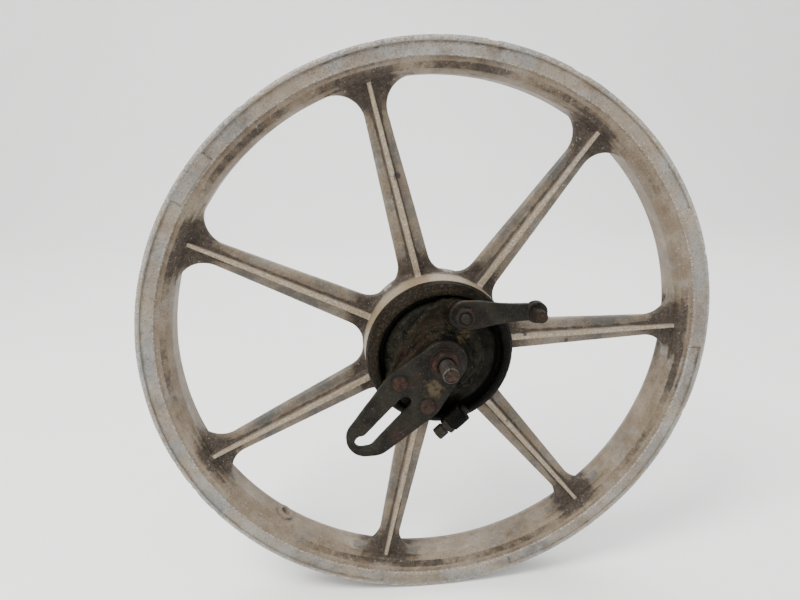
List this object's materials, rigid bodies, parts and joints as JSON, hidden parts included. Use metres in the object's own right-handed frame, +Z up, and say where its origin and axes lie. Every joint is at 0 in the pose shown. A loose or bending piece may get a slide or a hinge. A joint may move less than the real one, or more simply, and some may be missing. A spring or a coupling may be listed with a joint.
{
  "type": "moped wheel with drum brake",
  "caption": "Cast aluminium spoked moped wheel without its tyre, with a drum brake: brake plate, cam lever, slotted anchor arm, cable adjuster, axle and ball bearings.",
  "frame": {"origin": "on the wheel's axis, in the rim's middle plane", "axes": "+Y along the axle away from the brake side, +Z up, +X to the right seen from the brake side"},
  "size_m": [0.4572, 0.16, 0.4572],
  "materials": {
    "cast_wheel": "as-cast aluminium, weathered, brown dirt in the corners",
    "brake_casting": "cast aluminium under oily grey-brown dirt",
    "dark_steel": "plain steel, oily, with brown rust film",
    "rusty_steel": "steel with red-brown rust",
    "axle_steel": "machined steel, greasy",
    "bearing_steel": "ground bearing steel",
    "liner_iron": "turned grey iron with rust bloom",
    "brake_lining": "moulded friction lining, worn",
    "black_rubber": "soft black rubber",
    "spring_steel": "oiled spring steel"
  },
  "bodies": {
    "root": {"axle": "axle_steel", "bearing_near_inner_ring": "bearing_steel", "bearing_far_inner_ring": "bearing_steel", "bearing_spacer_tube": "axle_steel", "plate_spacer": "axle_steel", "far_spacer": "axle_steel", "far_washer": "rusty_steel", "far_axle_nut": "rusty_steel", "brake_plate": "brake_casting", "anchor_arm": "dark_steel", "anchor_rivet": "rusty_steel", "shoe_pivot_pin": "rusty_steel", "pivot_pin_clip": "dark_steel", "brake_side_washer": "rusty_steel", "brake_side_nut": "rusty_steel", "adjuster_lock_nut": "dark_steel", "cam_end_spring": "spring_steel", "pin_end_spring": "spring_steel"},
    "wheel": {"wheel_rim": "cast_wheel", "wheel_spokes": "cast_wheel", "hub_drum": "cast_wheel", "drum_liner": "liner_iron", "bearing_near_outer_ring": "bearing_steel", "bearing_far_outer_ring": "bearing_steel", "bearing_near_shields": "bearing_steel", "bearing_far_shields": "bearing_steel", "bearing_circlip": "spring_steel", "far_dust_seal": "black_rubber"},
    "near_ball_set": {"bearing_near_balls": "bearing_steel", "bearing_near_cage": "bearing_steel"},
    "far_ball_set": {"bearing_far_balls": "bearing_steel", "bearing_far_cage": "bearing_steel"},
    "brake_cam": {"cam_spindle": "dark_steel", "brake_lever": "dark_steel", "lever_washer": "dark_steel", "lever_nut": "dark_steel"},
    "cable_barrel": {"cable_pin": "dark_steel", "cable_pin_clip": "dark_steel"},
    "leading_brake_shoe": {"leading_shoe": "brake_casting", "leading_lining": "brake_lining"},
    "trailing_brake_shoe": {"trailing_shoe": "brake_casting", "trailing_lining": "brake_lining"},
    "adjuster": {"cable_adjuster": "dark_steel"}
  },
  "joints": [
    {"name": "wheel_spin", "type": "hinge", "parent": "root", "child": "wheel", "pos_m": [0, 0, 0], "axis": [0, 1, 0], "continuous": true},
    {"name": "near_balls_spin", "type": "hinge", "parent": "root", "child": "near_ball_set", "pos_m": [0, -0.015, 0], "axis": [0, 1, 0], "continuous": true},
    {"name": "far_balls_spin", "type": "hinge", "parent": "root", "child": "far_ball_set", "pos_m": [0, 0.031, 0], "axis": [0, 1, 0], "continuous": true},
    {"name": "brake_lever_turn", "type": "hinge", "parent": "root", "child": "brake_cam", "pos_m": [0.0131, -0.057, 0.03599], "axis": [0, 1, 0], "range_deg": [0, 20], "stiffness_Nm_per_rad": 4, "springref_deg": -5.73},
    {"name": "cable_barrel_turn", "type": "hinge", "parent": "brake_cam", "child": "cable_barrel", "pos_m": [0.06689, -0.058, 0.03702], "axis": [0, 1, 0], "continuous": true},
    {"name": "leading_shoe_swing", "type": "hinge", "parent": "root", "child": "leading_brake_shoe", "pos_m": [-0.01245, -0.022, -0.0342], "axis": [0, 1, 0], "range_deg": [0, 2]},
    {"name": "trailing_shoe_swing", "type": "hinge", "parent": "root", "child": "trailing_brake_shoe", "pos_m": [-0.01245, -0.022, -0.0342], "axis": [0, -1, 0], "range_deg": [0, 2]},
    {"name": "adjuster_travel", "type": "slide", "parent": "root", "child": "adjuster", "axis": [0.7314, 0, 0.682], "range_m": [-0.008, 0.001]}
  ],
  "couplings": [
    {"joint": "near_balls_spin", "follows": "wheel_spin", "ratio": 0.6318},
    {"joint": "far_balls_spin", "follows": "wheel_spin", "ratio": 0.6318},
    {"joint": "leading_shoe_swing", "follows": "brake_lever_turn", "ratio": 0.1},
    {"joint": "trailing_shoe_swing", "follows": "brake_lever_turn", "ratio": 0.1}
  ]
}
